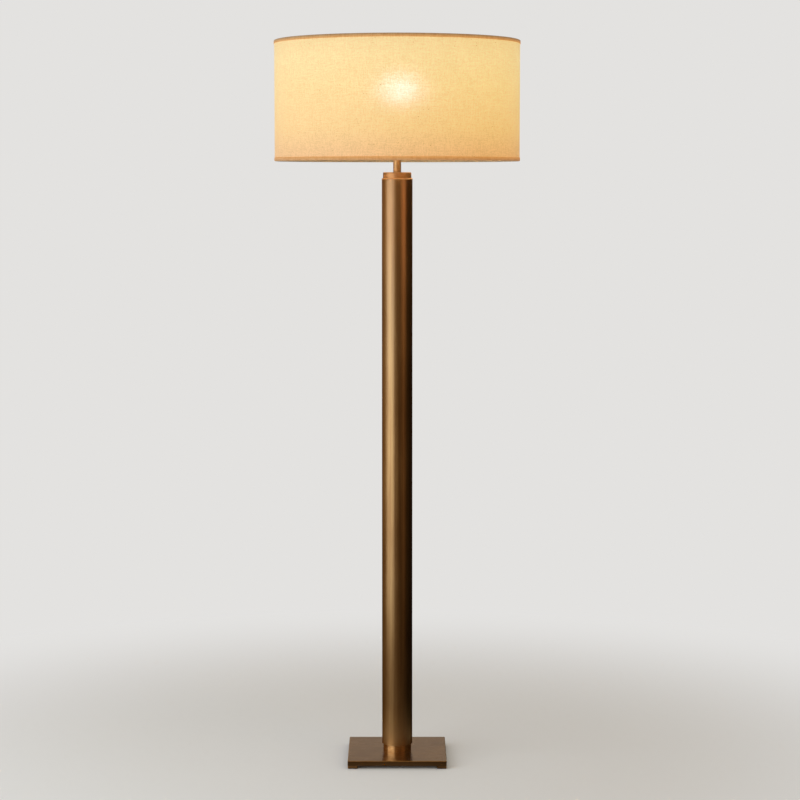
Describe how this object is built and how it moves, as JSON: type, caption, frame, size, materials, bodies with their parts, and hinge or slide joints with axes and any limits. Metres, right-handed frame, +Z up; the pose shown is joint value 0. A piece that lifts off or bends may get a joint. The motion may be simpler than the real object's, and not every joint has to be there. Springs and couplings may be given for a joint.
{
  "type": "column floor lamp",
  "caption": "Floor lamp with a square brass base plate on corner blocks, a plain round column, and a wide linen drum shade on a harp, lit by one bulb.",
  "frame": {"origin": "on the floor, under the column's axis", "axes": "+Z up along the column, -Y towards the front, +X to the right"},
  "size_m": [0.5621, 0.5622, 1.665],
  "materials": {
    "burnished_brass": "aged, softly brushed, lacquered",
    "felt": "pressed felt",
    "zinc_steel": "zinc plated",
    "black_plastic": "moulded",
    "plated_brass": "brass plated, satin",
    "fibre": "pressed fibre",
    "phenolic": "moulded",
    "contact_brass": "plain",
    "aluminium_thread": "plain",
    "knob_plastic": "fluted",
    "black_glass": "glossy",
    "white_plastic": "satin",
    "opal": "opal, lit",
    "white_steel": "white powder coat",
    "linen": "woven linen, slubbed",
    "backing": "translucent film",
    "trim_linen": "woven linen, folded"
  },
  "bodies": {
    "stand": {"base_lock_washer": "zinc_steel", "base_nut": "zinc_steel", "base_plate": "burnished_brass", "base_ring": "burnished_brass", "block_screws": "zinc_steel", "column_tube": "burnished_brass", "corner_block_front_left": "burnished_brass", "corner_block_front_right": "burnished_brass", "corner_block_rear_left": "burnished_brass", "corner_block_rear_right": "burnished_brass", "floor_pad_front_left": "felt", "floor_pad_front_right": "felt", "floor_pad_rear_left": "felt", "floor_pad_rear_right": "felt", "harp_saddle": "plated_brass", "lamp_pipe": "zinc_steel", "lower_plug": "zinc_steel", "neck_check_ring": "burnished_brass", "neck_tube": "burnished_brass", "pipe_end_bushing": "black_plastic", "saddle_nut": "zinc_steel", "socket_cap": "plated_brass", "socket_contact": "contact_brass", "socket_insulator": "phenolic", "socket_liner": "fibre", "socket_screw_shell": "aluminium_thread", "socket_set_screw": "zinc_steel", "socket_shell": "plated_brass", "terminal_screws": "contact_brass", "top_cap": "burnished_brass", "upper_plug": "zinc_steel"},
    "switch": {"switch_stem": "contact_brass", "switch_knob": "knob_plastic"},
    "bulb": {"bulb_contact": "contact_brass", "bulb_insulator": "black_glass", "bulb_screw_cap": "aluminium_thread", "bulb_housing": "white_plastic", "bulb_globe": "opal"},
    "harp": {"harp": "plated_brass", "harp_crown": "plated_brass"},
    "ferrule_left": {"harp_ferrule_left": "plated_brass"},
    "ferrule_right": {"harp_ferrule_right": "plated_brass"},
    "shade_swivel": {"harp_stud": "plated_brass"},
    "shade": {"spider_hub": "white_steel", "spider_arm_rear": "white_steel", "spider_arm_left": "white_steel", "spider_arm_right": "white_steel", "shade_top_wire": "white_steel", "shade_bottom_wire": "white_steel", "shade_backing": "backing", "shade_linen": "linen", "shade_top_trim": "trim_linen", "shade_bottom_trim": "trim_linen"},
    "finial": {"finial": "burnished_brass"}
  },
  "joints": [
    {"name": "switch_turn", "type": "hinge", "parent": "stand", "child": "switch", "pos_m": [0, -0.0255, 1.4645], "axis": [0, -1, 0], "continuous": true},
    {"name": "bulb_unscrew", "type": "slide", "parent": "stand", "child": "bulb", "axis": [0, 0, 1], "range_m": [0, 0.03]},
    {"name": "harp_lift", "type": "slide", "parent": "stand", "child": "harp", "axis": [0, 0, 1], "range_m": [0, 0.02]},
    {"name": "ferrule_left_slide", "type": "slide", "parent": "harp", "child": "ferrule_left", "axis": [0, 0, 1], "range_m": [0, 0.013]},
    {"name": "ferrule_right_slide", "type": "slide", "parent": "harp", "child": "ferrule_right", "axis": [0, 0, 1], "range_m": [0, 0.013]},
    {"name": "shade_turn", "type": "hinge", "parent": "harp", "child": "shade_swivel", "pos_m": [0, 0, 1.636], "axis": [0, 0, 1], "continuous": true},
    {"name": "shade_lift", "type": "slide", "parent": "shade_swivel", "child": "shade", "axis": [0, 0, 1], "range_m": [0, 0.28]},
    {"name": "finial_unscrew", "type": "slide", "parent": "shade", "child": "finial", "axis": [0, 0, 1], "range_m": [0, 0.014]}
  ]
}
